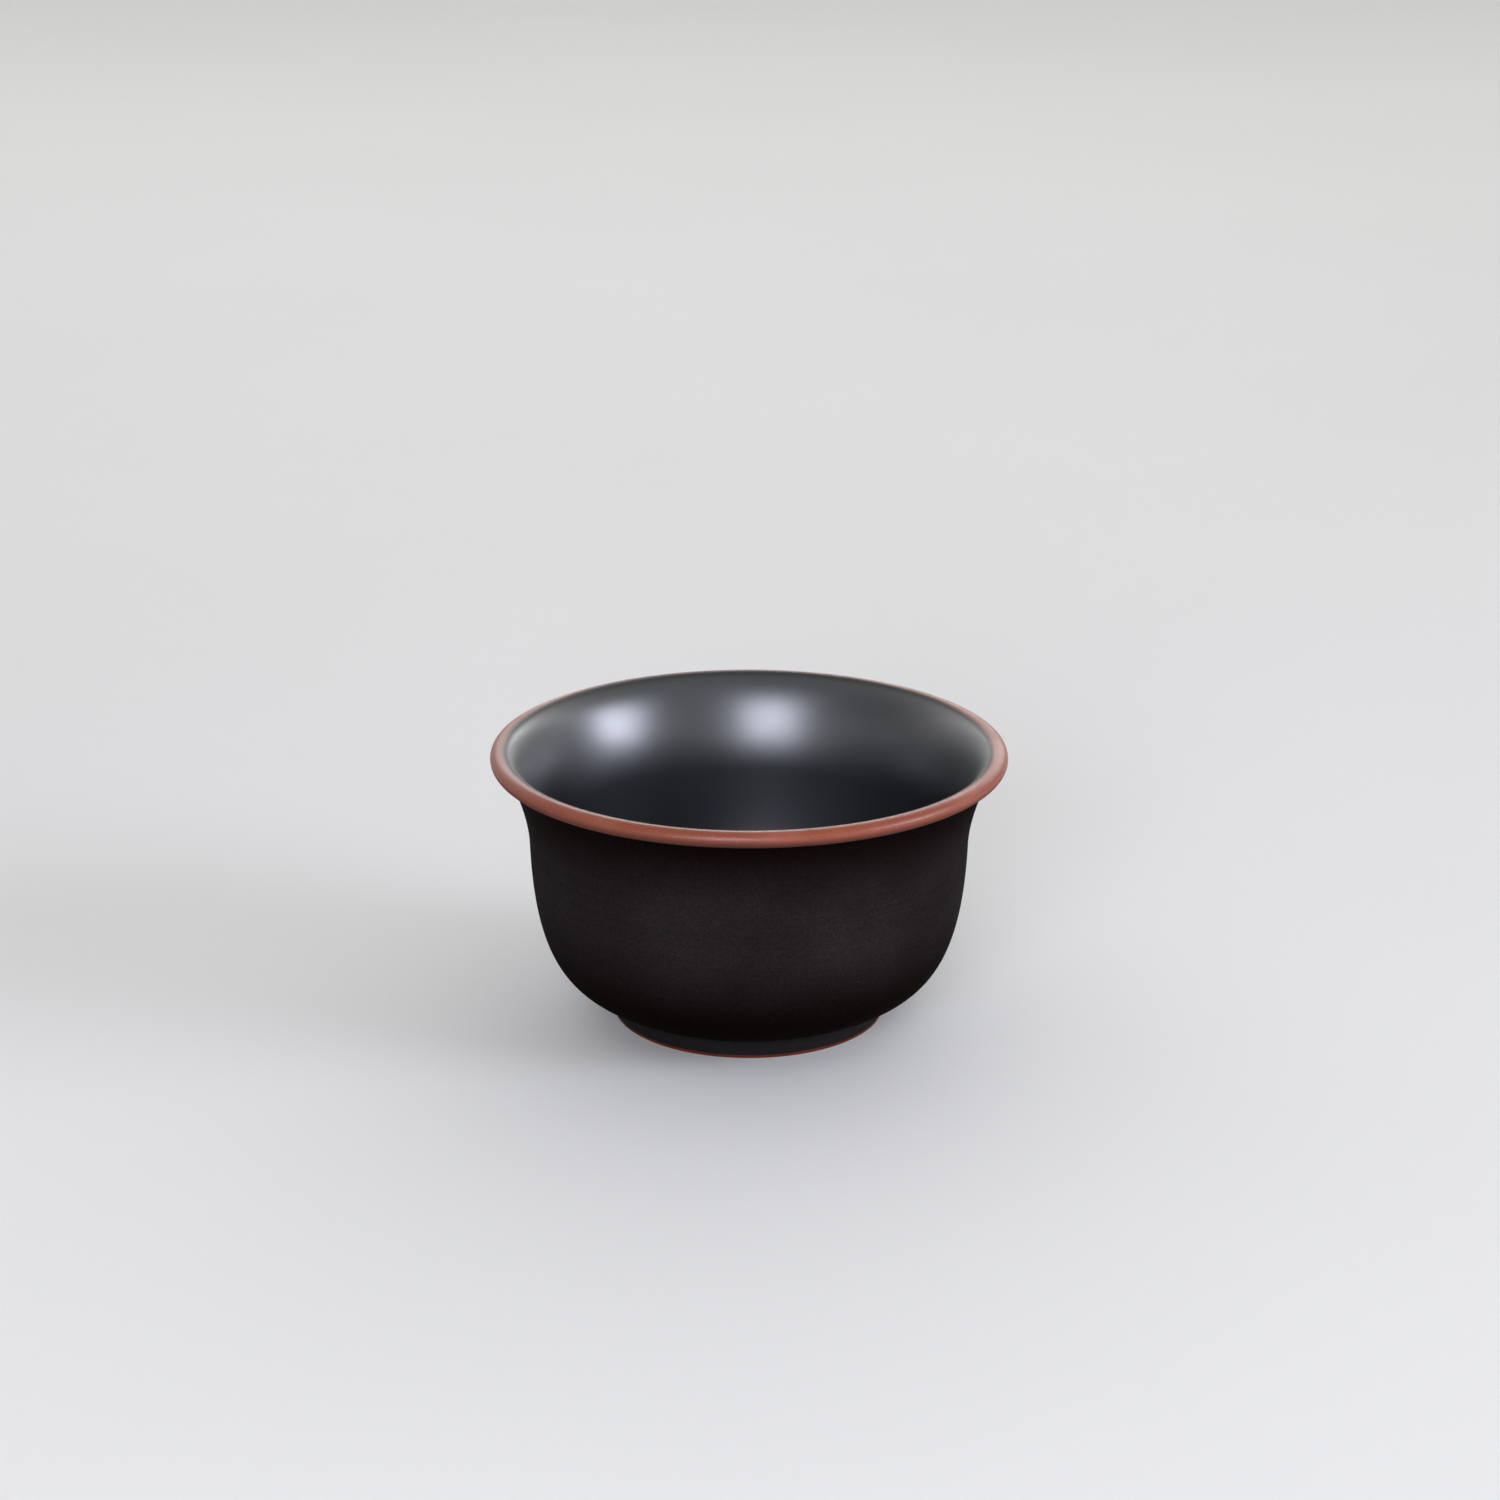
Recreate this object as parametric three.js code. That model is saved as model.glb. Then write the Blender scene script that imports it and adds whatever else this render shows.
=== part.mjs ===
// A small pottery tasting cup, hand built from four clay pieces luted together:
// a base disc, a bellied wall with a flared mouth, a rolled lip and a foot ring.
// Millimetres, +Z up. The origin is on the cup's axis, in the plane that it stands on.

import * as THREE from 'three';

// Overall sizes
const MOUTH_DIAMETER = 70;
const CUP_HEIGHT = 38;

// Lip: a roll of clay on the mouth, which runs smoothly into the wall's inside
const LIP_THICKNESS = 2.2;
const LIP_SEAT_DEG = -118; // where the wall's outside runs into the roll

// Wall: upright at the neck, flared above it and bellied below it
const WALL_THICKNESS = 1.8;
const NECK_DIAMETER = 59.7;
const NECK_HEIGHT = 24.7;
const NECK_LEAN_DEG = 1.8; // the wall leans outwards by this much at the neck
const FLARE_START = 4.5; // pull of the neck's direction on the flare
const FLARE_END = 1.6; // pull of the lip's direction on the flare
const FLARE_RISE_DEG = 42; // the flare's slope where it meets the lip
const BELLY_START = 18.9; // pull of the neck's direction on the belly
const BELLY_END = 5.8; // pull of the foot's direction on the belly
const BELLY_RISE_DEG = 22.7; // the belly's slope where it meets the foot
const KNUCKLE_THICKNESS = 3; // the wall's thickness where it is luted to the base disc

// Foot ring: a low coved ring with a bevelled standing edge
const FOOT_DIAMETER = 37.2;
const FOOT_HEIGHT = 2.4;
const FOOT_THICKNESS = 3.2; // at the top, against the base disc
const FOOT_DRAFT = 0.4; // the recess inside the ring widens by this much towards its mouth
const FOOT_COVE = 0.3; // the ring draws in by this much under the belly
const FOOT_BEVEL_HEIGHT = 0.45;
const FOOT_BEVEL_WIDTH = 0.15;

// Base disc: crowned below, inside the foot ring, and dished above
const FLOOR_THICKNESS = 1.9; // at the middle
const RECESS_CROWN = 0.4; // the underside rises by this much at the middle
const DISH_TURN = 1.8; // width of the turn from the floor up to the wall

// Finishes
const DARK_SKIN = 0x1a1715;
const BARE_CLAY = 0xa5614b;
const FOOT_SKIN = 0x262424;
const BURNISHED = 0.5;
const RUBBED = 0.55;

// Facets
const SIDES = 64;
const FLARE_STEPS = 8;
const BELLY_STEPS = 14;
const LIP_STEPS = 4;
const FOOT_STEPS = 4;
const DISC_STEPS = 6;

const radians = THREE.MathUtils.degToRad;

function along(degrees, length) {
  return new THREE.Vector2(Math.cos(radians(degrees)), Math.sin(radians(degrees))).multiplyScalar(length);
}

// The wall's outside, as radius and height: from the lip down to the neck and on to the foot.
const rollRadius = LIP_THICKNESS / 2;
const rollCentre = new THREE.Vector2(MOUTH_DIAMETER / 2 - rollRadius, CUP_HEIGHT - rollRadius);
const lipSeat = rollCentre.clone().add(along(LIP_SEAT_DEG, rollRadius));
const neck = new THREE.Vector2(NECK_DIAMETER / 2, NECK_HEIGHT);
const neckRiseDeg = 90 - NECK_LEAN_DEG;
const footSeat = new THREE.Vector2(FOOT_DIAMETER / 2 - FOOT_COVE, FOOT_HEIGHT);
const recessRadius = footSeat.x - FOOT_THICKNESS;

const flare = new THREE.CubicBezierCurve(
  lipSeat,
  lipSeat.clone().sub(along(FLARE_RISE_DEG, FLARE_END)),
  neck.clone().add(along(neckRiseDeg, FLARE_START)),
  neck,
);
const belly = new THREE.CubicBezierCurve(
  neck,
  neck.clone().sub(along(neckRiseDeg, BELLY_START)),
  footSeat.clone().add(along(BELLY_RISE_DEG, BELLY_END)),
  footSeat,
);

// The two edges of the wall, cut square to its outside: one carries the lip, one holds the disc.
const lipSeatInside = lipSeat.clone().add(along(FLARE_RISE_DEG + 90, WALL_THICKNESS));
const footSeatInside = footSeat.clone().add(along(BELLY_RISE_DEG + 90, KNUCKLE_THICKNESS));

// The corner where two lines meet, each of them given by a point and a direction.
function corner(point, direction, otherPoint, otherDirection) {
  const reach = otherPoint.clone().sub(point).cross(otherDirection) / direction.cross(otherDirection);
  return point.clone().addScaledVector(direction, reach);
}

// Points on the inside of the wall, set in from a stretch of its outside.
// The thickness grows from the first value to the last, slowly at first.
function inset(curve, steps, firstThickness, lastThickness) {
  const points = [];
  for (let step = 1; step < steps; step += 1) {
    const t = step / steps;
    const thickness = THREE.MathUtils.lerp(firstThickness, lastThickness, t * t);
    const inward = curve.getTangent(t).rotateAround(new THREE.Vector2(), -Math.PI / 2);
    points.push(curve.getPoint(t).addScaledVector(inward, thickness));
  }
  return points;
}

// A section turned about the cup's axis. It is drawn anticlockwise, and it closes on itself or on the axis.
function turned(section) {
  return new THREE.LatheGeometry(section, SIDES).rotateX(Math.PI / 2);
}

function clay(colour, roughness) {
  return new THREE.MeshStandardMaterial({ color: colour, roughness, metalness: 0 });
}

function piece(name, geometry, material) {
  const mesh = new THREE.Mesh(geometry, material);
  mesh.name = name;
  return mesh;
}

function wallGeometry() {
  const outside = [...flare.getPoints(FLARE_STEPS), ...belly.getPoints(BELLY_STEPS).slice(1)];
  const neckInside = neck.clone().add(along(neckRiseDeg + 90, WALL_THICKNESS));
  const inside = [
    lipSeatInside,
    ...inset(flare, FLARE_STEPS, WALL_THICKNESS, WALL_THICKNESS),
    neckInside,
    ...inset(belly, BELLY_STEPS, WALL_THICKNESS, KNUCKLE_THICKNESS),
    footSeatInside,
  ];
  return turned([...inside, ...outside.reverse(), lipSeatInside]);
}

function lipGeometry() {
  const crest = rollCentre.clone().add(along(90, rollRadius));
  const turn = corner(crest, along(180, 1), lipSeatInside, along(FLARE_RISE_DEG, 1));
  const section = new THREE.Path();
  section.absarc(rollCentre.x, rollCentre.y, rollRadius, radians(LIP_SEAT_DEG), 0);
  section.absarc(rollCentre.x, rollCentre.y, rollRadius, 0, Math.PI / 2);
  section.quadraticCurveTo(turn.x, turn.y, lipSeatInside.x, lipSeatInside.y);
  section.closePath();
  return turned(section.getPoints(LIP_STEPS));
}

function footGeometry() {
  const outer = FOOT_DIAMETER / 2;
  const recessMouth = recessRadius + FOOT_DRAFT;
  const section = new THREE.Path();
  section.moveTo(recessRadius, FOOT_HEIGHT);
  section.lineTo(recessMouth, FOOT_BEVEL_HEIGHT);
  section.lineTo(recessMouth + FOOT_BEVEL_WIDTH, 0);
  section.lineTo(outer - FOOT_BEVEL_WIDTH, 0);
  section.lineTo(outer, FOOT_BEVEL_HEIGHT);
  section.quadraticCurveTo(footSeat.x, (FOOT_BEVEL_HEIGHT + FOOT_HEIGHT) / 2, footSeat.x, FOOT_HEIGHT);
  section.closePath();
  return turned(section.getPoints(FOOT_STEPS));
}

function discGeometry() {
  const crown = FOOT_HEIGHT + RECESS_CROWN;
  const floor = crown + FLOOR_THICKNESS;
  const section = new THREE.Path();
  section.moveTo(0, crown);
  section.quadraticCurveTo(recessRadius / 2, crown, recessRadius, FOOT_HEIGHT);
  section.lineTo(footSeat.x, footSeat.y);
  section.lineTo(footSeatInside.x, footSeatInside.y);
  section.quadraticCurveTo(footSeatInside.x - DISH_TURN, floor, 0, floor);
  return turned(section.getPoints(DISC_STEPS));
}

const cup = new THREE.Group();
cup.add(piece('base_disc', discGeometry(), clay(DARK_SKIN, BURNISHED)));
cup.add(piece('cup_wall', wallGeometry(), clay(DARK_SKIN, BURNISHED)));
cup.add(piece('lip_roll', lipGeometry(), clay(BARE_CLAY, RUBBED)));
cup.add(piece('foot_ring', footGeometry(), clay(FOOT_SKIN, RUBBED)));

export default cup;
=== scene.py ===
"""A small pottery tasting cup on a pale sweep: kiln-dark walls, a bare lip and a low foot ring.

The file is laid out as an add-on and run as a script. Every length is in metres, in the frame of
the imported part: +Z up, the origin on the cup's axis, in the plane that the cup stands on. The
camera looks towards +Y, so the cup's front is its -Y side and +X is to the right.
"""

import math

import bpy
import numpy as np
from bpy.props import FloatProperty, FloatVectorProperty, IntProperty, PointerProperty
from mathutils import Euler, Matrix, Vector


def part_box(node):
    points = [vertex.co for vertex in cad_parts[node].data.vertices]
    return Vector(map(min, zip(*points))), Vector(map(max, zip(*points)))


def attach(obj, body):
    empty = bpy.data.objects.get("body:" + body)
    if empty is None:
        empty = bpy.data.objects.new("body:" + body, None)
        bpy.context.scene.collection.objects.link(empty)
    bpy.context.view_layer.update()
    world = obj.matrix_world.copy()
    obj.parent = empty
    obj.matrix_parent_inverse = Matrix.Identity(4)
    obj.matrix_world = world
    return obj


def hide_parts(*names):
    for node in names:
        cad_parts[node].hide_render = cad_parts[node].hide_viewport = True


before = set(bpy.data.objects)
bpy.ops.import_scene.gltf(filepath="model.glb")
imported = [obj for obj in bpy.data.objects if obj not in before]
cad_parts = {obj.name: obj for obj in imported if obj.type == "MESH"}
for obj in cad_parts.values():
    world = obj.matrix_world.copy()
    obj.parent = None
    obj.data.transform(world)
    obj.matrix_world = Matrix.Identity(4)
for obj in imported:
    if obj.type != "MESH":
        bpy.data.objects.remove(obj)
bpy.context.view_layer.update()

bl_info = {
    "name": "Pottery Tasting Cup",
    "version": (1, 0, 0),
    "blender": (4, 5, 0),
    "location": "View3D > Sidebar > Cup",
    "description": "Turns a small kiln-dark tasting cup and sets it on a pale sweep",
    "category": "Add Mesh",
}

MM = 0.001
BODY = "root"


# Settings


def length(name, description, default):
    return FloatProperty(
        name=name, description=description, default=default, unit="LENGTH", precision=5
    )


def angle(name, description, degrees):
    return FloatProperty(
        name=name, description=description, default=math.radians(degrees), subtype="ANGLE"
    )


def colour(name, description, default):
    return FloatVectorProperty(
        name=name, description=description, default=default, subtype="COLOR", min=0, max=1
    )


def brightness(name, description, default):
    return FloatProperty(name=name, description=description, default=default, min=0)


def power(name, description, default):
    return FloatProperty(name=name, description=description, default=default, min=0, unit="POWER")


class CupSizes(bpy.types.PropertyGroup):
    """Sizes of the cup's section, which is turned about the cup's axis"""

    mouth_diameter: length(
        "Mouth Diameter", "Across the outside of the lip", 2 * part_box("lip_roll")[1].x
    )
    cup_height: length("Cup Height", "From the table to the lip's crest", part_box("lip_roll")[1].z)
    lip_thickness: length("Lip Thickness", "Across the roll of the lip", 2.2 * MM)
    lip_seat: angle("Lip Seat", "Where the wall's outside runs into the roll", -118)
    wall_thickness: length("Wall Thickness", "Through the wall, above the belly", 1.8 * MM)
    neck_diameter: length("Neck Diameter", "Across the upright part of the wall", 59.7 * MM)
    neck_height: length("Neck Height", "From the table to the neck", 24.7 * MM)
    neck_lean: angle("Neck Lean", "How far the wall leans out at the neck", 1.8)
    flare_start: length("Flare Start", "Pull of the neck's direction on the flare", 4.5 * MM)
    flare_end: length("Flare End", "Pull of the lip's direction on the flare", 1.6 * MM)
    flare_rise: angle("Flare Rise", "Slope of the flare where it meets the lip", 42)
    belly_start: length("Belly Start", "Pull of the neck's direction on the belly", 18.9 * MM)
    belly_end: length("Belly End", "Pull of the foot's direction on the belly", 5.8 * MM)
    belly_rise: angle("Belly Rise", "Slope of the belly where it meets the foot", 22.7)
    knuckle_thickness: length("Knuckle Thickness", "Through the wall at the base disc", 3 * MM)
    foot_diameter: length(
        "Foot Diameter", "Across the foot ring", 2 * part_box("foot_ring")[1].x
    )
    foot_height: length("Foot Height", "From the table to the belly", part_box("foot_ring")[1].z)
    foot_thickness: length("Foot Thickness", "Through the ring, at its top", 3.2 * MM)
    foot_draft: length("Foot Draft", "How far the recess widens towards its mouth", 0.4 * MM)
    foot_cove: length("Foot Cove", "How far the ring draws in under the belly", 0.3 * MM)
    bevel_height: length("Bevel Height", "Height of the bevelled standing edge", 0.45 * MM)
    bevel_width: length("Bevel Width", "Width of the bevelled standing edge", 0.15 * MM)
    edge_ease: length("Edge Ease", "How far the foot's corners are rubbed round", 0.1 * MM)
    floor_thickness: length("Floor Thickness", "Through the base disc at its middle", 1.9 * MM)
    recess_crown: length("Recess Crown", "Rise of the underside at its middle", 0.4 * MM)
    dish_turn: length("Dish Turn", "Width of the turn from the floor to the wall", 1.8 * MM)
    rim_dip: length("Rim Dip", "How much lower the lip is on its low side", 0.15 * MM)
    rim_high_side: angle("Rim High Side", "Where the lip is highest, counted from +X", 50)
    hand_wobble: length("Hand Wobble", "How far the round is out of true", 0.06 * MM)
    sides: IntProperty(
        name="Sides", description="Faces round each turned piece", default=360, min=48, max=720
    )


class CupFinish(bpy.types.PropertyGroup):
    """Colours of the clay and of its kiln-darkened skin"""

    skin: colour("Skin", "The dark outside, near the lip and the foot", (0.0052, 0.0027, 0.0025))
    # Painted sheen: the belly colour is a lighter band round the middle of the outside, in place of
    # the lamps' sheen.
    belly: colour("Belly", "The greyer middle of the outside", (0.0254, 0.0206, 0.0206))
    flush: colour("Flush", "The warmer clouds on the outside", (0.0068, 0.0040, 0.0034))
    inner_skin: colour("Inner Skin", "The burnished inside", (0.0050, 0.0056, 0.0072))
    inner_flush: colour("Inner Flush", "The clouds on the inside", (0.0085, 0.0088, 0.0104))
    inner_gleam: colour("Inner Gleam", "Tint of the inside's gloss", (0.90, 0.92, 1.0))
    foot_skin: colour("Foot Skin", "The cool band of the foot", (0.0130, 0.0119, 0.0130))
    foot_flush: colour("Foot Flush", "The clouds on the foot", (0.0165, 0.0154, 0.0165))
    speck: colour("Speck", "Tiny pale grains in the clay", (0.085, 0.075, 0.066))
    bare: colour("Bare Clay", "Clay that was rubbed bare", (0.290, 0.064, 0.030))
    bare_pale: colour("Bare Clay, Pale", "Dry, powdery streaks in it", (0.368, 0.103, 0.059))
    # The deep colour marks polished lines and the foot's standing edge, and it is also painted on
    # the lip's underside as shade.
    deep_clay_and_shade: colour("Bare Clay, Deep", "Polished lines in it", (0.150, 0.033, 0.018))


class CupStage(bpy.types.PropertyGroup):
    """The sweep, the light and the camera"""

    sweep_colour: colour("Sweep Colour", "The pale floor and its raised edge", (0.92, 0.912, 0.90))
    bounce_colour: colour(
        "Bounce Colour", "The sweep as it lights the cup from below", (0.50, 0.50, 0.50)
    )
    floor_radius: length("Floor Radius", "How far the floor is flat", 1.2)
    cove_radius: length("Cove Radius", "The sweep's turn from the floor up to its edge", 0.5)
    light_above: brightness("Light Above", "Brightness of the sky overhead", 0.45)
    light_behind: brightness("Light Behind", "Brightness of the sky behind the cup", 1.7)
    glow_behind: brightness("Glow Behind", "Added brightness, low in the sky behind the cup", 4.2)
    light_before: brightness("Light Before", "Brightness of the sky on the camera's side", 0.18)
    lamp_colour: colour("Lamp Colour", "The faintly cool light of both lamps", (0.86, 0.89, 1.0))
    lamp_power: power("Lamp Power", "Power of each lamp", 0.66)
    backdrop_power: power("Backdrop Power", "Power of the lamp behind the cup", 6.2)
    lamp_width: length("Lamp Width", "Across each lamp", 0.42)
    lamp_height: length("Lamp Height", "Up each lamp", 0.34)
    lamp_distance: length("Lamp Distance", "From the cup to each lamp", 0.9)
    lamp_spread: angle("Lamp Spread", "How widely each lamp throws its light", 70)
    lens: FloatProperty(
        name="Lens", description="Focal length", default=89.83, subtype="DISTANCE_CAMERA"
    )
    camera_place: FloatVectorProperty(
        name="Camera Place",
        description="Where the camera stands",
        default=(0.000131, -0.47933, 0.19997),
        subtype="XYZ",
        unit="LENGTH",
    )
    camera_pitch: angle("Camera Pitch", "Turn of the camera up from straight down", 71.254)
    camera_roll: angle("Camera Roll", "Turn of the camera about its own line of sight", 0.14)


# Sections: points as radius and height.

# Steps along each stretch of a section.
FLARE_STEPS = 32
BELLY_STEPS = 64
ROLL_UNDER_STEPS = 30
ROLL_OVER_STEPS = 24
LIP_INSIDE_STEPS = 24
FOOT_COVE_STEPS = 20
CORNER_STEPS = 5
RECESS_STEPS = 40
DISH_STEPS = 60
SWEEP_STEPS = 32

QUARTER_TURN = math.pi / 2


def along(direction, distance):
    return Vector((math.cos(direction), math.sin(direction))) * distance


def curve(points, steps):
    """Points along a Bezier curve, and its direction at each of them."""
    places, directions = [], []
    for step in range(steps + 1):
        t = step / steps
        row = list(points)
        while len(row) > 2:
            row = [a.lerp(b, t) for a, b in zip(row, row[1:])]
        places.append(row[0].lerp(row[1], t))
        directions.append((row[1] - row[0]).normalized())
    return places, directions


def arc(centre, radius, start, end, steps):
    turn = (end - start) / steps
    return [centre + along(start + turn * step, radius) for step in range(steps + 1)]


def eased(before, corner, after, reach):
    """A corner rubbed round, from reach before it to reach after it."""
    start = corner + (before - corner).normalized() * reach
    end = corner + (after - corner).normalized() * reach
    return curve([start, corner, end], CORNER_STEPS)[0]


class Section:
    """The points that neighbouring pieces share, and the outline of each piece."""

    def __init__(self, size):
        self.size = size
        self.roll = size.lip_thickness / 2
        crest_radius = size.mouth_diameter / 2 - self.roll
        self.roll_centre = Vector((crest_radius, size.cup_height - self.roll))
        self.lip_seat = self.roll_centre + along(size.lip_seat, self.roll)
        self.neck = Vector((size.neck_diameter / 2, size.neck_height))
        self.neck_rise = QUARTER_TURN - size.neck_lean
        self.foot_seat = Vector((size.foot_diameter / 2 - size.foot_cove, size.foot_height))
        self.recess_radius = self.foot_seat.x - size.foot_thickness
        upper, lower = size.wall_thickness, size.knuckle_thickness
        self.lip_seat_inside = self.lip_seat + along(size.flare_rise + QUARTER_TURN, upper)
        self.foot_seat_inside = self.foot_seat + along(size.belly_rise + QUARTER_TURN, lower)

    def flare(self):
        size = self.size
        return [
            self.lip_seat,
            self.lip_seat - along(size.flare_rise, size.flare_end),
            self.neck + along(self.neck_rise, size.flare_start),
            self.neck,
        ]

    def belly(self):
        size = self.size
        return [
            self.neck,
            self.neck - along(self.neck_rise, size.belly_start),
            self.foot_seat + along(size.belly_rise, size.belly_end),
            self.foot_seat,
        ]

    def wall(self):
        """Down the inside from the lip to the disc, and back up the outside."""
        upper, lower = self.size.wall_thickness, self.size.knuckle_thickness
        stretches = ((self.flare(), FLARE_STEPS, upper), (self.belly(), BELLY_STEPS, lower))
        inside, outside = [], []
        for points, steps, last in stretches:
            places, directions = curve(points, steps)
            first = 1 if outside else 0  # the neck ends the flare and starts the belly
            for step in range(first, steps + 1):
                thickness = upper + (last - upper) * (step / steps) ** 2
                inward = Vector((directions[step].y, -directions[step].x))
                inside.append(places[step] + inward * thickness)
                outside.append(places[step])
        return inside + outside[::-1] + inside[:1]

    def lip(self):
        """Round the roll from the wall's outside to its crest, and down to the wall's inside."""
        under = arc(self.roll_centre, self.roll, self.size.lip_seat, 0, ROLL_UNDER_STEPS)
        over = arc(self.roll_centre, self.roll, 0, QUARTER_TURN, ROLL_OVER_STEPS)
        crest = self.roll_centre + along(QUARTER_TURN, self.roll)
        fall = crest.y - self.lip_seat_inside.y
        turn = self.lip_seat_inside + Vector((fall / math.tan(self.size.flare_rise), fall))
        inner = curve([crest, turn, self.lip_seat_inside], LIP_INSIDE_STEPS)[0]
        return under + over[1:] + inner[1:] + under[:1]

    def foot(self):
        """Down the recess, across the standing face and up the cove to the belly."""
        size = self.size
        outer = size.foot_diameter / 2
        mouth = self.recess_radius + size.foot_draft
        top = Vector((self.recess_radius, size.foot_height))
        corners = [
            top,
            Vector((mouth, size.bevel_height)),
            Vector((mouth + size.bevel_width, 0)),
            Vector((outer - size.bevel_width, 0)),
            Vector((outer, size.bevel_height)),
        ]
        pull = Vector((self.foot_seat.x, (size.bevel_height + size.foot_height) / 2))
        cove = curve([corners[-1], pull, self.foot_seat], FOOT_COVE_STEPS)[0]
        section = [top]
        for before, corner, after in zip(corners, corners[1:], corners[2:] + [pull]):
            section += eased(before, corner, after, size.edge_ease)
        return section + cove[2:] + [top]  # the last eased corner stands for the cove's start

    def disc(self):
        """Out along the crowned underside, up the bevelled rim and in over the dished floor."""
        size = self.size
        crown = size.foot_height + size.recess_crown
        floor = crown + size.floor_thickness
        edge = Vector((self.recess_radius, size.foot_height))
        under = curve([Vector((0, crown)), Vector((edge.x / 2, crown)), edge], RECESS_STEPS)[0]
        turn = Vector((self.foot_seat_inside.x - size.dish_turn, floor))
        over = curve([self.foot_seat_inside, turn, Vector((0, floor))], DISH_STEPS)[0]
        return under + [self.foot_seat] + over


# Turning: a section becomes a closed mesh.

# The hand leaves the round a little oval and a little three-cornered, with these phases.
OVAL_PHASE = 0.7
CORNERS_PHASE = -0.4

# Faces that meet at more than this angle keep a sharp edge.
SHARP_ANGLE = math.radians(24)

# Faces of the lip whose normals fall lower than this wear the dark outside.
UNDERSIDE = -0.94


def spun(name, section, sides):
    """A mesh of the section turned about the upright axis.

    Its faces look to the right of the section's run.
    """
    turns = [2 * math.pi * side / sides for side in range(sides)]
    points, rings, faces = [], [], []
    for place in section:
        radius, height = place
        if rings and place == section[0]:
            rings.append(rings[0])
        elif radius == 0:
            rings.append([len(points)] * sides)
            points.append((0, 0, height))
        else:
            rings.append(range(len(points), len(points) + sides))
            points += [(radius * math.cos(turn), radius * math.sin(turn), height) for turn in turns]
    for ring, following in zip(rings, rings[1:]):
        for side in range(sides):
            beside = (side + 1) % sides
            corners = (ring[side], ring[beside], following[beside], following[side])
            faces.append(tuple(dict.fromkeys(corners)))
    mesh = bpy.data.meshes.new(name)
    mesh.from_pydata(points, [], faces)
    mesh.shade_smooth()
    return mesh


def by_hand(mesh, size):
    """Moves a turned mesh as little as a hand leaves it out of true, and only inwards or down."""
    places = np.empty(len(mesh.vertices) * 3)
    mesh.vertices.foreach_get("co", places)
    places = places.reshape(-1, 3)
    around = np.arctan2(places[:, 1], places[:, 0])
    oval = (1 - np.cos(2 * around + OVAL_PHASE)) / 2
    three_cornered = (1 - np.cos(3 * around + CORNERS_PHASE)) / 4
    wobble = oval + three_cornered
    places[:, :2] *= (1 - wobble * 2 * size.hand_wobble / size.mouth_diameter)[:, None]
    rise = (places[:, 2] - size.foot_height) / (size.cup_height - size.foot_height)
    dip = size.rim_dip * (1 - np.cos(around - size.rim_high_side)) / 2
    places[:, 2] -= dip * np.clip(rise, 0, 1)
    mesh.vertices.foreach_set("co", places.ravel())


def turned(name, section, materials, size, second=None):
    """A piece of the cup.

    second tells which faces wear the second material, from their middles and normals.
    """
    mesh = spun(name, section, size.sides)
    for material in materials:
        mesh.materials.append(material)
    if second:
        middles = np.array([face.center for face in mesh.polygons])
        normals = np.array([face.normal for face in mesh.polygons])
        mesh.polygons.foreach_set("material_index", second(middles, normals).astype(np.int32))
    by_hand(mesh, size)
    mesh.set_sharp_from_angle(angle=SHARP_ANGLE)
    piece = bpy.data.objects.new(name, mesh)
    bpy.context.scene.collection.objects.link(piece)
    return piece


def place_piece(piece, node):
    """Puts a piece in the place of its CAD node."""
    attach(piece, BODY)
    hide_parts(node)


def facing_axis(middles, normals):
    return (middles[:, :2] * normals[:, :2]).sum(axis=1) < 0


def facing_up(middles, normals):
    return normals[:, 2] > 0


def facing_down(middles, normals):
    return normals[:, 2] < UNDERSIDE


# Nodes

NODE_SPACING = 190


def add(tree, kind, inputs=None, **settings):
    """A new node. An input is either a value or a socket to link to it."""
    node = tree.nodes.new(kind)
    node.location.x = NODE_SPACING * len(tree.nodes)
    for key, value in settings.items():
        setattr(node, key, value)
    for key, value in (inputs or {}).items():
        if isinstance(value, bpy.types.NodeSocket):
            tree.links.new(value, node.inputs[key])
        else:
            node.inputs[key].default_value = value
    return node


def calc(tree, operation, *values):
    return add(tree, "ShaderNodeMath", dict(enumerate(values)), operation=operation).outputs[0]


def vector_calc(tree, operation, inputs):
    return add(tree, "ShaderNodeVectorMath", inputs, operation=operation).outputs


def split(tree, vector):
    return add(tree, "ShaderNodeSeparateXYZ", {0: vector}).outputs


def ramp(tree, value, low, high, to_low=0.0, to_high=1.0):
    """A smooth change from to_low to to_high, as the value goes from low to high."""
    limits = {"From Min": low, "From Max": high, "To Min": to_low, "To Max": to_high}
    inputs = {"Value": value, **limits}
    node = add(tree, "ShaderNodeMapRange", inputs, interpolation_type="SMOOTHSTEP")
    return node.outputs["Result"]


def blended(tree, share, first, second):
    """A mix of two colours. The node's colour sockets go by number, because their names repeat."""
    node = add(tree, "ShaderNodeMix", {0: share, 6: first, 7: second}, data_type="RGBA")
    return node.outputs[2]


def noise(tree, place, scale, detail=2.0):
    inputs = {"Vector": place, "Scale": scale, "Detail": detail}
    return add(tree, "ShaderNodeTexNoise", inputs).outputs["Fac"]


def swing(tree, pattern, depth):
    """A noise pattern as a swing about zero."""
    return calc(tree, "MULTIPLY", calc(tree, "SUBTRACT", pattern, 0.5), depth)


def opaque(rgb):
    return (*rgb, 1.0)


def new_group(name, inputs, outputs):
    """An empty node group with these sockets: (group, its inputs, its output node)."""
    tree = bpy.data.node_groups.new(name, "ShaderNodeTree")
    for in_out, sockets in (("INPUT", inputs), ("OUTPUT", outputs)):
        for label, kind in sockets:
            tree.interface.new_socket(label, in_out=in_out, socket_type="NodeSocket" + kind)
    start = tree.nodes.new("NodeGroupInput")
    end = tree.nodes.new("NodeGroupOutput")
    return tree, start.outputs, end


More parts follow.
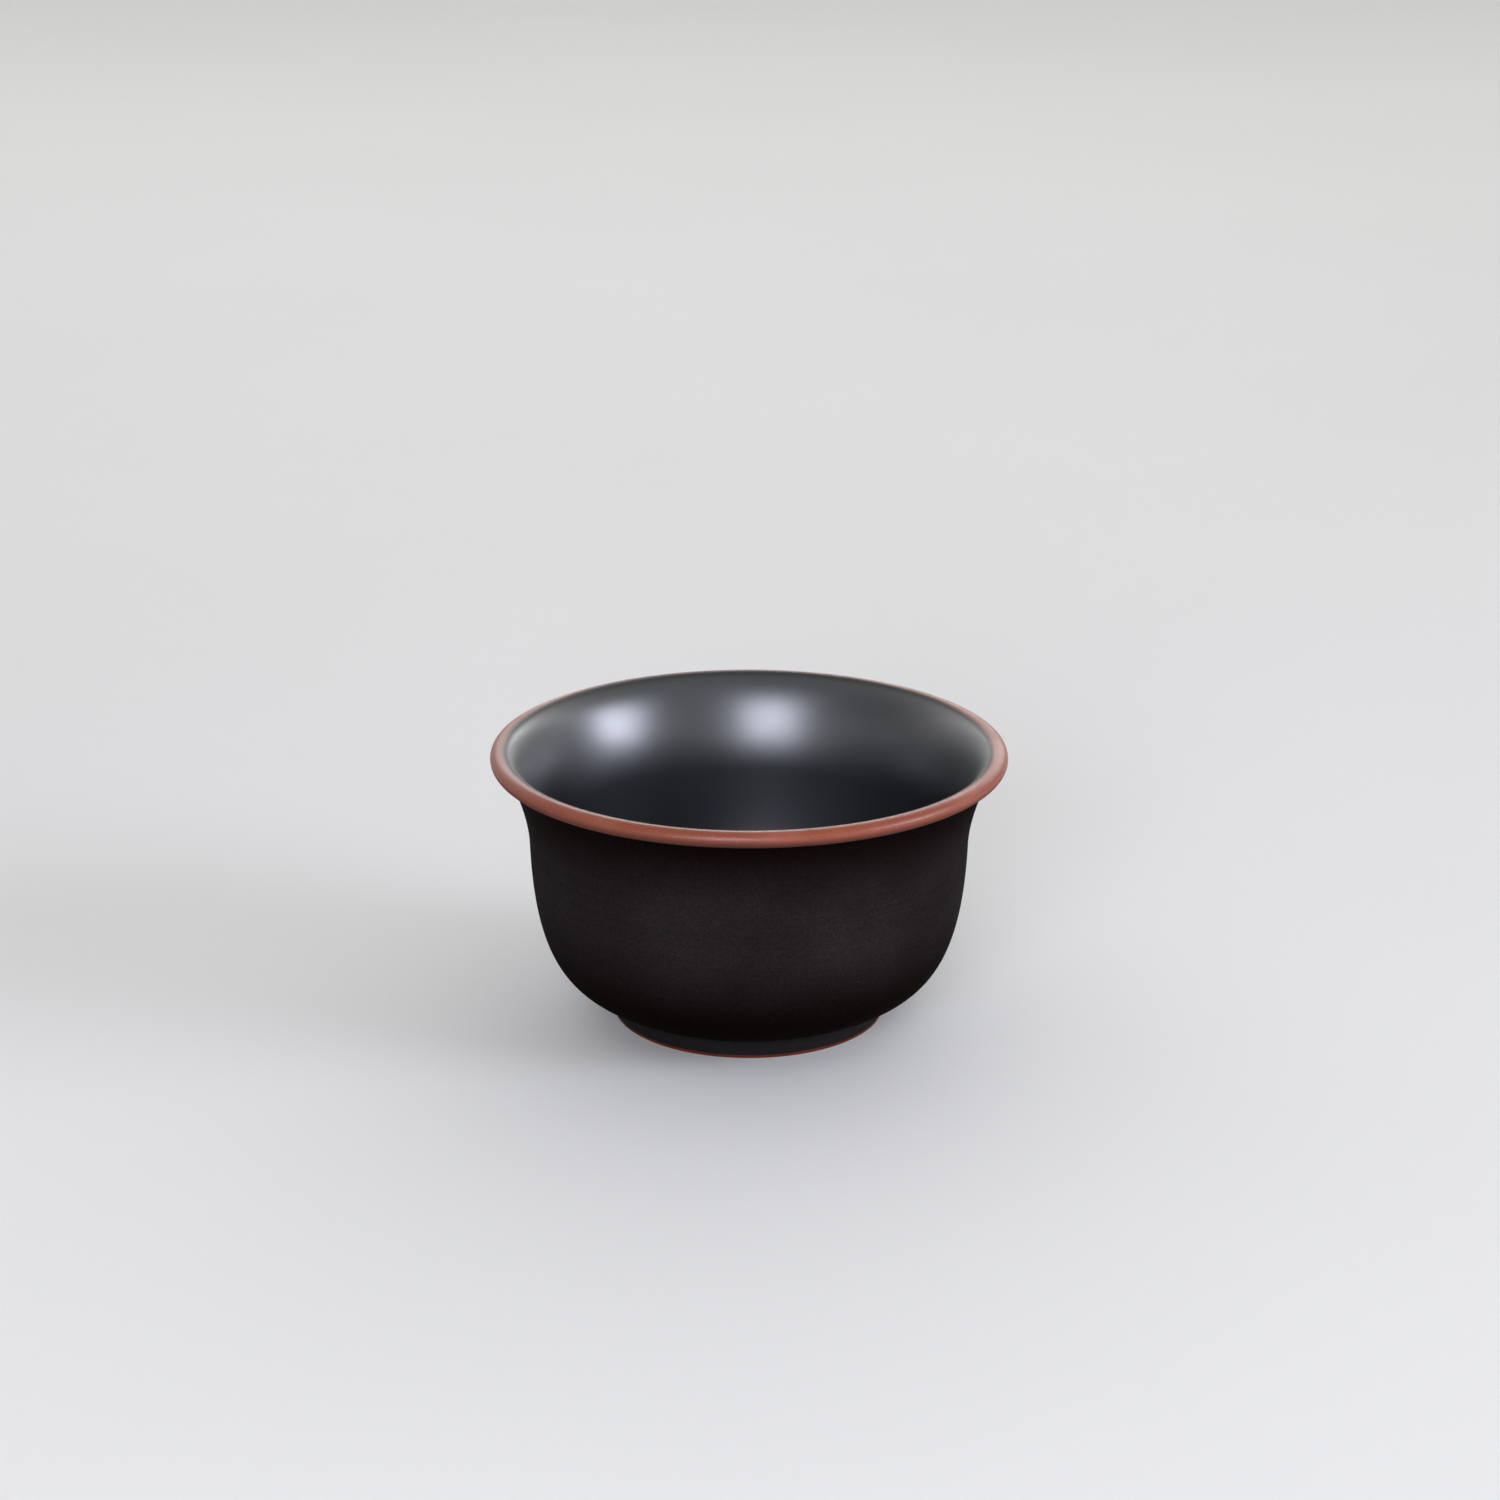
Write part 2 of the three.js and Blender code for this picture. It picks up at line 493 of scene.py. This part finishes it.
def finish_group(tree, end, results):
    end.location.x = NODE_SPACING * (len(tree.nodes) + 1)
    for label, socket in results.items():
        tree.links.new(socket, end.inputs[label])
    return tree


def use(tree, group, inputs=None):
    return add(tree, "ShaderNodeGroup", inputs, node_tree=group).outputs


# Node groups that the materials share. Their lengths are in millimetres.

CLOUDS_PER_MM = 0.075
CELLS_PER_MM = 0.9  # each cell of the clay has a speck or none
LINE_DRIFT = 0.035  # how much the turning lines wander

EDGE_WAVES_PER_MM = 0.16  # the worn edge wanders in broad waves
EDGE_NICKS_PER_MM = 2.4  # and in fine nicks
NICK_SHARE = 0.35  # the size of a nick beside a wave


def turned_place():
    """Where a point is on the turned cup.

    Climb rises steadily from the floor's middle to the lip.
    """
    name = "Turned Place"
    if name in bpy.data.node_groups:
        return bpy.data.node_groups[name]
    outputs = [("Point", "Vector"), ("Radius", "Float"), ("Height", "Float"), ("Climb", "Float")]
    tree, _, end = new_group(name, [], outputs)
    place = add(tree, "ShaderNodeTexCoord").outputs["Object"]
    point = vector_calc(tree, "SCALE", {0: place, "Scale": 1 / MM})["Vector"]
    part = split(tree, point)
    level = add(tree, "ShaderNodeCombineXYZ", {0: part[0], 1: part[1]}).outputs[0]
    radius = vector_calc(tree, "LENGTH", {0: level})["Value"]
    climb = calc(tree, "ADD", radius, part[2])
    results = {"Point": point, "Radius": radius, "Height": part[2], "Climb": climb}
    return finish_group(tree, end, results)


def clay_grain():
    """Fine grain, the lines that turning leaves, slow clouds and sparse pale grains."""
    name = "Clay Grain"
    if name in bpy.data.node_groups:
        return bpy.data.node_groups[name]
    inputs = [
        ("Point", "Vector"),
        ("Climb", "Float"),
        ("Grains per mm", "Float"),
        ("Lines per mm", "Float"),
        ("Line Depth", "Float"),
        ("Grain Depth", "Float"),
    ]
    outputs = [("Tone", "Float"), ("Clouds", "Float"), ("Specks", "Float"), ("Relief", "Float")]
    tree, given, end = new_group(name, inputs, outputs)
    point = given["Point"]
    grain = noise(tree, point, given["Grains per mm"])
    clouds = noise(tree, point, CLOUDS_PER_MM, detail=3.0)
    across = calc(tree, "MULTIPLY", given["Climb"], given["Lines per mm"])
    across = add(tree, "ShaderNodeCombineXYZ", {0: across}).outputs[0]
    wander = (LINE_DRIFT, LINE_DRIFT, LINE_DRIFT)
    line_place = vector_calc(tree, "MULTIPLY_ADD", {0: point, 1: wander, 2: across})["Vector"]
    lines = noise(tree, line_place, 1.0)
    cells = add(tree, "ShaderNodeTexVoronoi", {"Vector": point, "Scale": CELLS_PER_MM}).outputs
    in_speck = ramp(tree, cells["Distance"], 0.09, 0.04)
    chance = add(tree, "ShaderNodeSeparateColor", {0: cells["Color"]}).outputs[0]
    has_speck = ramp(tree, chance, 0.78, 1.0)
    specks = calc(tree, "MULTIPLY", in_speck, has_speck)
    grain_part = swing(tree, grain, given["Grain Depth"])
    line_part = swing(tree, lines, given["Line Depth"])
    relief = calc(tree, "ADD", grain_part, line_part)
    tone = calc(tree, "ADD", relief, 1.0)
    results = {"Tone": tone, "Clouds": clouds, "Specks": specks, "Relief": relief}
    return finish_group(tree, end, results)


def kiln_skin():
    """The dark skin's colour: clouded, grained and sparsely specked."""
    name = "Kiln Skin"
    if name in bpy.data.node_groups:
        return bpy.data.node_groups[name]
    inputs = [
        ("Skin", "Color"),
        ("Flush", "Color"),
        ("Speck", "Color"),
        ("Clouds", "Float"),
        ("Tone", "Float"),
        ("Specks", "Float"),
    ]
    tree, given, end = new_group(name, inputs, [("Colour", "Color")])
    flushed = ramp(tree, given["Clouds"], 0.36, 0.66, to_high=0.35)
    clouded = blended(tree, flushed, given["Skin"], given["Flush"])
    toned = vector_calc(tree, "SCALE", {0: clouded, "Scale": given["Tone"]})["Vector"]
    specked = blended(tree, given["Specks"], toned, given["Speck"])
    return finish_group(tree, end, {"Colour": specked})


def bare_clay():
    """The bare clay's colour: pale and powdery in places, deeper along polished lines."""
    name = "Bare Clay"
    if name in bpy.data.node_groups:
        return bpy.data.node_groups[name]
    inputs = [
        ("Bare", "Color"),
        ("Pale", "Color"),
        ("Deep", "Color"),
        ("Clouds", "Float"),
        ("Tone", "Float"),
    ]
    tree, given, end = new_group(name, inputs, [("Colour", "Color")])
    powdery = ramp(tree, given["Clouds"], 0.45, 0.75)
    raised = ramp(tree, given["Tone"], 1.06, 1.25)
    sunken = ramp(tree, given["Tone"], 0.94, 0.70, to_high=0.5)
    pale = blended(tree, powdery, given["Bare"], given["Pale"])
    flecked = blended(tree, raised, pale, given["Pale"])
    lined = blended(tree, sunken, flecked, given["Deep"])
    return finish_group(tree, end, {"Colour": lined})


def worn_edge():
    """How bare a point is, from its depth inside the bare zone. The zone's edge wanders."""
    name = "Worn Edge"
    if name in bpy.data.node_groups:
        return bpy.data.node_groups[name]
    inputs = [("Point", "Vector"), ("Depth", "Float"), ("Softness", "Float"), ("Wander", "Float")]
    tree, given, end = new_group(name, inputs, [("Bare", "Float")])
    waves = noise(tree, given["Point"], EDGE_WAVES_PER_MM)
    nicks = noise(tree, given["Point"], EDGE_NICKS_PER_MM, detail=3.0)
    drift = calc(tree, "ADD", waves, calc(tree, "MULTIPLY", nicks, NICK_SHARE))
    drift = calc(tree, "SUBTRACT", drift, (1 + NICK_SHARE) / 2)
    drift = calc(tree, "MULTIPLY", drift, given["Wander"])
    depth = calc(tree, "ADD", given["Depth"], drift)
    share = calc(tree, "DIVIDE", depth, given["Softness"])
    return finish_group(tree, end, {"Bare": ramp(tree, share, -0.5, 0.5)})


# Materials

# How far the bare clay reaches from the middle of the lip's roll, in millimetres: down the
# outside, and inwards at the front, at the sides and at the back. It reaches in a little further
# to the right, by this much for each millimetre.
BARE_DOWN = 0.92
BARE_IN_FRONT = 0.45
BARE_IN_SIDES = 0.75
BARE_IN_BACK = 0.2
BARE_IN_RIGHT = 0.005

# The painted shade on the lip's underside starts lower to the right, by this much for each
# millimetre.
SHADE_DROP = 0.006

# The lip's inner slope: millimetres out from the middle of the roll where it starts, and where it
# meets the wall.
SLOPE_START = -0.9
SLOPE_END = -1.72


def new_material(name):
    """A material with its Principled shader: (material, tree, shader)."""
    material = bpy.data.materials.new(name)
    material.use_nodes = True
    return material, material.node_tree, material.node_tree.nodes["Principled BSDF"]


def paint(tree, shader, base, roughness):
    tree.links.new(base, shader.inputs["Base Color"])
    tree.links.new(roughness, shader.inputs["Roughness"])


def set_constants(shader, values):
    for label, value in values.items():
        shader.inputs[label].default_value = value


def grained(tree, point, climb, grains_per_mm, grain_depth, lines_per_mm, line_depth):
    """The clay's grain at a point. Turning lines run across the climb."""
    given = {
        "Point": point,
        "Climb": climb,
        "Grains per mm": grains_per_mm,
        "Grain Depth": grain_depth,
        "Lines per mm": lines_per_mm,
        "Line Depth": line_depth,
    }
    return use(tree, clay_grain(), given)


def skin_colour(tree, grain, skin, flush, speck):
    given = {
        "Skin": skin,
        "Flush": flush,
        "Speck": speck,
        "Clouds": grain["Clouds"],
        "Tone": grain["Tone"],
        "Specks": grain["Specks"],
    }
    return use(tree, kiln_skin(), given)["Colour"]


def bare_colour(tree, grain, finish):
    given = {
        "Bare": opaque(finish.bare),
        "Pale": opaque(finish.bare_pale),
        "Deep": opaque(finish.deep_clay_and_shade),
        "Clouds": grain["Clouds"],
        "Tone": grain["Tone"],
    }
    return use(tree, bare_clay(), given)["Colour"]


def worn(tree, point, depth, softness, wander):
    given = {"Point": point, "Depth": depth, "Softness": softness, "Wander": wander}
    return use(tree, worn_edge(), given)["Bare"]


def cloudy(tree, grain, between, within):
    """A value that changes slowly, from between the clouds to within them."""
    return ramp(tree, grain["Clouds"], 0.3, 0.7, between, within)


def roughen(tree, shader, grain, depth):
    """The grain as relief on the shader's normal."""
    inputs = {"Strength": 1.0, "Distance": depth, "Height": grain["Relief"]}
    bump = add(tree, "ShaderNodeBump", inputs)
    tree.links.new(bump.outputs["Normal"], shader.inputs["Normal"])


def outside_material(finish):
    """The trimmed outside, dark and nearly matt, with painted sheen: a lighter band round the
    belly.
    """
    name = "trimmed_outside"
    if name in bpy.data.materials:
        return bpy.data.materials[name]
    material, tree, shader = new_material(name)
    place = use(tree, turned_place())
    grain = grained(
        tree,
        place["Point"],
        place["Climb"],
        grains_per_mm=3.2,
        grain_depth=1.1,
        lines_per_mm=3.0,
        line_depth=0.4,
    )
    # Painted sheen: a lighter belly colour in a band round the middle, fading out towards the lip
    # and the foot.
    painted_sheen_above_foot = ramp(tree, place["Height"], 7.0, 20.0)
    painted_sheen_below_lip = ramp(tree, place["Height"], 36.0, 23.0)
    middle = calc(tree, "MULTIPLY", painted_sheen_above_foot, painted_sheen_below_lip)
    skin = blended(tree, middle, opaque(finish.skin), opaque(finish.belly))
    base = skin_colour(tree, grain, skin, opaque(finish.flush), opaque(finish.speck))
    paint(tree, shader, base, cloudy(tree, grain, between=0.85, within=0.75))
    # A glossier outside would show the pale floor as an even grey.
    set_constants(shader, {"Specular IOR Level": 0.006})
    roughen(tree, shader, grain, depth=0.05 * MM)
    return material


def inside_material(finish):
    """The inside, burnished to a soft gloss."""
    name = "burnished_inside"
    if name in bpy.data.materials:
        return bpy.data.materials[name]
    material, tree, shader = new_material(name)
    place = use(tree, turned_place())
    grain = grained(
        tree,
        place["Point"],
        place["Climb"],
        grains_per_mm=3.5,
        grain_depth=0.4,
        lines_per_mm=2.5,
        line_depth=0.3,
    )
    skin, flush = opaque(finish.inner_skin), opaque(finish.inner_flush)
    base = skin_colour(tree, grain, skin, flush, opaque(finish.speck))
    paint(tree, shader, base, cloudy(tree, grain, between=0.41, within=0.36))
    gloss = {
        "IOR": 2.0,
        "Specular Tint": opaque(finish.inner_gleam),
        "Coat Weight": 1.0,
        "Coat Roughness": 0.30,
        "Coat IOR": 1.5,
    }
    set_constants(shader, gloss)
    roughen(tree, shader, grain, depth=0.008 * MM)
    return material


def lip_material(finish, section):
    """Bare clay over the roll, which fades into the dark skin below it and inside it, with painted
    shade on its underside.
    """
    material, tree, shader = new_material("rubbed_lip")
    place = use(tree, turned_place())
    point = place["Point"]
    part = split(tree, point)
    rightwards, backwards = part[0], part[1]
    out = calc(tree, "SUBTRACT", place["Radius"], section.roll_centre.x / MM)
    up = calc(tree, "SUBTRACT", place["Height"], section.roll_centre.y / MM)
    round_roll = calc(tree, "MULTIPLY", calc(tree, "ARCTAN2", up, out), section.roll / MM)
    grain = grained(
        tree,
        point,
        round_roll,
        grains_per_mm=4.0,
        grain_depth=0.9,
        lines_per_mm=3.0,
        line_depth=0.6,
    )

    # Where the clay is bare.
    above_edge = calc(tree, "ADD", up, BARE_DOWN)
    outer = worn(tree, point, above_edge, softness=0.35, wander=0.25)
    reach = ramp(tree, backwards, 4.0, 32.0, BARE_IN_SIDES, BARE_IN_BACK)
    reach = ramp(tree, backwards, -34.0, -10.0, BARE_IN_FRONT, reach)
    reach = calc(tree, "MULTIPLY_ADD", rightwards, BARE_IN_RIGHT, reach)
    out_of_edge = calc(tree, "ADD", out, reach)
    inner = worn(tree, point, out_of_edge, softness=0.9, wander=0.35)
    share = calc(tree, "MULTIPLY", outer, inner)

    # Its colour, and that of the skin, which goes from the outside's to the inside's.
    inward = ramp(tree, out_of_edge, 0.0, -0.6)
    skin = blended(tree, inward, opaque(finish.skin), opaque(finish.inner_skin))
    flush = blended(tree, inward, opaque(finish.flush), opaque(finish.inner_flush))
    dark = skin_colour(tree, grain, skin, flush, opaque(finish.speck))
    # Painted shade: the bare clay darkens to the deep colour on the roll's underside.
    painted_shade = ramp(tree, calc(tree, "MULTIPLY_ADD", rightwards, SHADE_DROP, up), 0.4, -0.7)
    bare = blended(tree, painted_shade, bare_colour(tree, grain, finish), opaque(finish.deep_clay_and_shade))
    base = blended(tree, share, dark, bare)

    # Its gloss: satin on the roll, matt under it, and dull on the inner slope until the wall.
    satin = cloudy(tree, grain, between=0.38, within=0.32)
    before_wall = ramp(tree, out, SLOPE_START, SLOPE_END, 1.0, 0.0)
    dull = calc(tree, "MULTIPLY", inward, before_wall)
    roughness = ramp(tree, dull, 0.0, 1.0, satin, 0.58)
    roughness = ramp(tree, up, 0.3, -0.7, roughness, 1.0)
    paint(tree, shader, base, roughness)
    gleam = ramp(tree, out, SLOPE_START, SLOPE_END, 0.2, 0.85)
    coat = calc(tree, "MULTIPLY", inward, gleam)
    tree.links.new(coat, shader.inputs["Coat Weight"])
    gloss = {"Specular IOR Level": 0.5, "Coat Roughness": 0.33, "Coat IOR": 2.0}
    set_constants(shader, gloss)
    roughen(tree, shader, grain, depth=0.03 * MM)
    return material


def foot_material(finish, size):
    """A cool smooth band over a bare standing edge."""
    material, tree, shader = new_material("trimmed_foot")
    place = use(tree, turned_place())
    grain = grained(
        tree,
        place["Point"],
        place["Climb"],
        grains_per_mm=3.5,
        grain_depth=0.5,
        lines_per_mm=4.0,
        line_depth=0.5,
    )
    below_edge = calc(tree, "SUBTRACT", size.bevel_height / MM, place["Height"])
    share = worn(tree, place["Point"], below_edge, softness=0.16, wander=0.2)
    skin, flush = opaque(finish.foot_skin), opaque(finish.foot_flush)
    dark = skin_colour(tree, grain, skin, flush, opaque(finish.speck))
    base = blended(tree, share, dark, opaque(finish.deep_clay_and_shade))
    paint(tree, shader, base, cloudy(tree, grain, between=0.5, within=0.42))
    set_constants(shader, {"Specular IOR Level": 0.03})
    roughen(tree, shader, grain, depth=0.02 * MM)
    return material


def sweep_material(stage):
    """Pale paper with a faint mottle. The light that it throws on the cup is held back."""
    material, tree, shader = new_material("pale_sweep")
    place = add(tree, "ShaderNodeTexCoord").outputs["Object"]
    mottle = ramp(tree, noise(tree, place, scale=6.0, detail=4.0), 0.3, 0.7)
    mottle_shade = 0.985
    shade = [mottle_shade * part for part in stage.sweep_colour]
    pale = blended(tree, mottle, opaque(stage.sweep_colour), opaque(shade))
    rays = add(tree, "ShaderNodeLightPath").outputs
    shown = calc(tree, "MAXIMUM", rays["Is Camera Ray"], rays["Is Glossy Ray"])
    shown = calc(tree, "MAXIMUM", shown, rays["Is Transmission Ray"])
    base = blended(tree, shown, opaque(stage.bounce_colour), pale)
    tree.links.new(base, shader.inputs["Base Color"])
    set_constants(shader, {"Roughness": 0.85, "Specular IOR Level": 0.2})
    return material


# Operators

# Where the lamps stand: degrees to the right of the camera's side, and degrees above level.
LAMPS = {"right_lamp": (74.5, 18), "front_lamp": (-11.5, 21)}

# The sky's brightest side: behind the cup and a little to the right.
BRIGHT_SIDE = (0.15, 0.989, 0)

SWEEP_SIDES = 128


class TEACUP_OT_base_disc(bpy.types.Operator):
    """Turn the base disc: the cup's dished floor, crowned underneath"""

    bl_idname = "teacup.base_disc"
    bl_label = "Base Disc"

    def execute(self, context):
        size, finish = context.scene.teacup_sizes, context.scene.teacup_finish
        materials = [outside_material(finish), inside_material(finish)]
        piece = turned("dished_floor", Section(size).disc(), materials, size, facing_up)
        place_piece(piece, "base_disc")
        return {"FINISHED"}


class TEACUP_OT_cup_wall(bpy.types.Operator):
    """Turn the wall: bellied below, upright at the neck and flared at the mouth"""

    bl_idname = "teacup.cup_wall"
    bl_label = "Cup Wall"

    def execute(self, context):
        size, finish = context.scene.teacup_sizes, context.scene.teacup_finish
        materials = [outside_material(finish), inside_material(finish)]
        piece = turned("bellied_wall", Section(size).wall(), materials, size, facing_axis)
        place_piece(piece, "cup_wall")
        return {"FINISHED"}


class TEACUP_OT_lip_roll(bpy.types.Operator):
    """Turn the lip: a roll of clay round the mouth, rubbed bare on top"""

    bl_idname = "teacup.lip_roll"
    bl_label = "Lip Roll"

    def execute(self, context):
        size, finish = context.scene.teacup_sizes, context.scene.teacup_finish
        section = Section(size)
        materials = [lip_material(finish, section), outside_material(finish)]
        piece = turned("rolled_lip", section.lip(), materials, size, facing_down)
        place_piece(piece, "lip_roll")
        return {"FINISHED"}


class TEACUP_OT_foot_ring(bpy.types.Operator):
    """Turn the foot ring: coved outside, with a bare bevelled standing edge"""

    bl_idname = "teacup.foot_ring"
    bl_label = "Foot Ring"

    def execute(self, context):
        size, finish = context.scene.teacup_sizes, context.scene.teacup_finish
        materials = [foot_material(finish, size)]
        piece = turned("coved_foot", Section(size).foot(), materials, size)
        place_piece(piece, "foot_ring")
        return {"FINISHED"}


class TEACUP_OT_stage(bpy.types.Operator):
    """Set up the pale sweep, the soft light and the camera"""

    bl_idname = "teacup.stage"
    bl_label = "Stage"

    def execute(self, context):
        scene, stage = context.scene, context.scene.teacup_stage
        self.sweep(scene, stage)
        self.sky(scene, stage)
        for name, (around, above) in LAMPS.items():
            self.lamp(scene, stage, name, math.radians(around), math.radians(above))
        self.backdrop_lamp(scene, stage)
        self.camera(scene, stage)
        scene.view_settings.view_transform = "Standard"
        return {"FINISHED"}

    def sweep(self, scene, stage):
        """A flat floor that turns up all round to an upright edge."""
        centre = Vector((stage.floor_radius, stage.cove_radius))
        cove = arc(centre, stage.cove_radius, 0, -QUARTER_TURN, SWEEP_STEPS)
        mesh = spun("sweep", cove + [Vector((0, 0))], SWEEP_SIDES)
        mesh.materials.append(sweep_material(stage))
        floor = bpy.data.objects.new("sweep", mesh)
        scene.collection.objects.link(floor)

    def sky(self, scene, stage):
        """Soft light, strongest from behind the cup and a little to the right."""
        world = bpy.data.worlds.new("soft_light")
        world.use_nodes = True
        tree = world.node_tree
        direction = add(tree, "ShaderNodeTexCoord").outputs["Generated"]
        behind = vector_calc(tree, "DOT_PRODUCT", {0: direction, 1: BRIGHT_SIDE})["Value"]
        above = split(tree, direction)[2]
        level = ramp(tree, behind, -0.3, 0.7, stage.light_before, stage.light_behind)
        level = ramp(tree, above, 0.1, 0.9, level, stage.light_above)
        low_glow = ramp(tree, above, 0.5, 0.3, 0.0, stage.glow_behind)
        straight_behind = ramp(tree, behind, 0.73, 0.97)
        glow = calc(tree, "MULTIPLY", low_glow, straight_behind)
        background = tree.nodes["Background"]
        tree.links.new(calc(tree, "ADD", level, glow), background.inputs["Strength"])
        background.inputs["Color"].default_value = (1, 1, 1, 1)
        scene.world = world

    def lamp(self, scene, stage, name, around, above):
        """A soft lamp that faces the cup and keeps most of its light off the floor."""
        level = math.cos(above)
        away = Vector((level * math.sin(around), -level * math.cos(around), math.sin(above)))
        size = (stage.lamp_width, stage.lamp_height)
        lamp = self.soft_lamp(scene, name, size, away * stage.lamp_distance, -away)
        lamp.energy = stage.lamp_power
        lamp.color = stage.lamp_colour
        lamp.spread = stage.lamp_spread

    def backdrop_lamp(self, scene, stage):
        """A wide lamp above the cup that faces away from it and lights the sweep behind it."""
        size = (2.0, 0.4)
        place = Vector((0, 0.4, 0.9))
        towards = Vector((0, 1, -0.4))
        lamp = self.soft_lamp(scene, "backdrop_lamp", size, place, towards)
        lamp.energy = stage.backdrop_power

    def soft_lamp(self, scene, name, size, place, towards):
        light = bpy.data.lights.new(name, "AREA")
        light.shape = "RECTANGLE"
        light.size, light.size_y = size
        lamp = bpy.data.objects.new(name, light)
        lamp.location = place
        lamp.rotation_euler = towards.to_track_quat("-Z", "Y").to_euler()
        lamp.visible_camera = False
        scene.collection.objects.link(lamp)
        return light

    def camera(self, scene, stage):
        lens = bpy.data.cameras.new("camera")
        lens.lens = stage.lens
        lens.sensor_width = 36
        camera = bpy.data.objects.new("camera", lens)
        pitch = Euler((stage.camera_pitch, 0, 0)).to_matrix()
        roll = Matrix.Rotation(stage.camera_roll, 3, "Z")
        camera.matrix_world = Matrix.Translation(stage.camera_place) @ (pitch @ roll).to_4x4()
        scene.collection.objects.link(camera)
        scene.camera = camera


OPERATORS = (
    TEACUP_OT_base_disc,
    TEACUP_OT_cup_wall,
    TEACUP_OT_lip_roll,
    TEACUP_OT_foot_ring,
    TEACUP_OT_stage,
)
SETTINGS = {"teacup_sizes": CupSizes, "teacup_finish": CupFinish, "teacup_stage": CupStage}


class TEACUP_PT_cup(bpy.types.Panel):
    """The cup's pieces, sizes and colours"""

    bl_label = "Tasting Cup"
    bl_idname = "TEACUP_PT_cup"
    bl_space_type = "VIEW_3D"
    bl_region_type = "UI"
    bl_category = "Cup"

    def draw(self, context):
        for operator in OPERATORS:
            self.layout.operator(operator.bl_idname)
        for name in SETTINGS:
            settings = getattr(context.scene, name)
            box = self.layout.box()
            for key in settings.bl_rna.properties.keys():
                if key not in ("rna_type", "name"):
                    box.prop(settings, key)


CLASSES = (*SETTINGS.values(), *OPERATORS, TEACUP_PT_cup)


def register():
    for cls in CLASSES:
        bpy.utils.register_class(cls)
    for name, group in SETTINGS.items():
        setattr(bpy.types.Scene, name, PointerProperty(type=group))


def unregister():
    for name in SETTINGS:
        delattr(bpy.types.Scene, name)
    for cls in reversed(CLASSES):
        bpy.utils.unregister_class(cls)


def main():
    register()
    bpy.ops.teacup.base_disc()
    bpy.ops.teacup.cup_wall()
    bpy.ops.teacup.lip_roll()
    bpy.ops.teacup.foot_ring()
    bpy.ops.teacup.stage()


if __name__ == "__main__":
    main()
